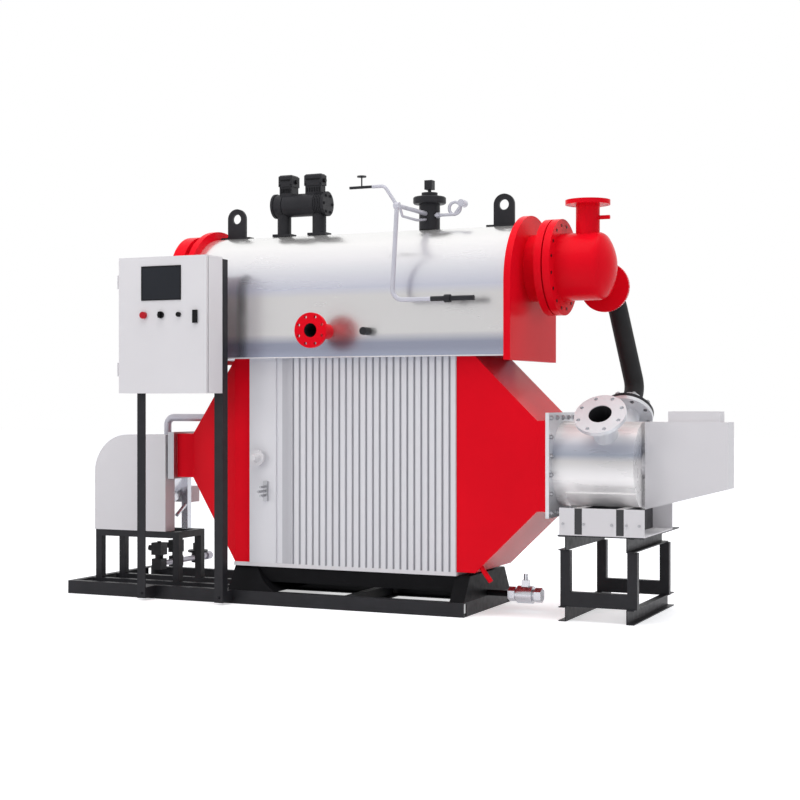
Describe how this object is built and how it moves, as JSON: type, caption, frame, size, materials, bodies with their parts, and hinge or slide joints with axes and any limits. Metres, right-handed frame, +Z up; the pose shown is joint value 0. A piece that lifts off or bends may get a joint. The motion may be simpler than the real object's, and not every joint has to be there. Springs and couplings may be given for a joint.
{
  "type": "industrial boiler",
  "caption": "Skid-mounted industrial steam boiler with ribbed furnace block, round-topped drum casing, control cabinet, fan and a flue gas condenser on its own stand.",
  "frame": {"origin": "bottom centre of the whole plant's bounding box", "axes": "+X along the skid from the fan to the condenser, +Y to the back, away from the control cabinet's door, +Z up"},
  "size_m": [4.033, 1.337, 2.561],
  "materials": {
    "red_paint": "glossy red paint",
    "black_steel": "satin black paint",
    "polished_steel": "polished stainless steel",
    "light_panel": "light grey paint",
    "screen": "dark screen",
    "red_plastic": "gloss",
    "black_plastic": "matt",
    "insulation": "foam rubber sleeve"
  },
  "bodies": {
    "root": {"skid_rails": "black_steel", "skid_cross_members": "black_steel", "saddles": "black_steel", "belly_plate": "black_steel", "drain_valve": "polished_steel", "furnace_body": "light_panel", "furnace_end_band": "red_paint", "plain_panels": "light_panel", "ribbed_walls": "light_panel", "furnace_sill": "light_panel", "sight_port": "light_panel", "drum_casing": "polished_steel", "casing_ends": "red_paint", "manhole_neck": "red_paint", "manhole_cover": "red_paint", "header_neck": "red_paint", "steam_header": "red_paint", "steam_outlet": "red_paint", "flue_hood": "red_paint", "burner_hood": "red_paint", "hood_drain": "red_paint", "condenser_flange": "light_panel", "condenser_shell": "polished_steel", "condenser_nozzles": "polished_steel", "smoke_box": "light_panel", "flue_outlet": "light_panel", "insulated_downpipe": "insulation", "condenser_cradle": "light_panel", "cradle_posts": "black_steel", "cradle_plate": "black_steel", "stand_runners": "black_steel", "stand_legs": "black_steel", "stand_cross_beams": "black_steel", "fan_housing": "light_panel", "fan_scroll": "polished_steel", "fan_outlet_flange": "light_panel", "fan_motor": "light_panel", "fan_stand_legs": "black_steel", "fan_stand_rails": "black_steel", "fan_stand_top": "black_steel", "air_pipe": "polished_steel", "gas_pipe": "polished_steel", "gas_valves": "black_steel", "cabinet_posts": "black_steel", "post_brackets": "black_steel", "cabinet_body": "light_panel", "mounting_plate": "light_panel", "lifting_lugs": "black_steel", "control_head_bridge": "black_steel", "control_heads": "black_steel", "main_valve": "black_steel", "gauge_tube": "polished_steel", "probe_rod": "black_steel", "drum_front_nozzle": "red_paint", "gauge_socket": "black_steel"},
    "door": {"cabinet_door": "light_panel", "touch_screen": "screen", "red_button": "red_plastic", "door_buttons": "black_plastic", "door_latch": "black_plastic"}
  },
  "joints": [
    {"name": "cabinet_door_hinge", "type": "hinge", "parent": "root", "child": "door", "pos_m": [-1.4475, -0.6305, 1.636], "axis": [0, 0, -1], "range_deg": [0, 110]}
  ]
}
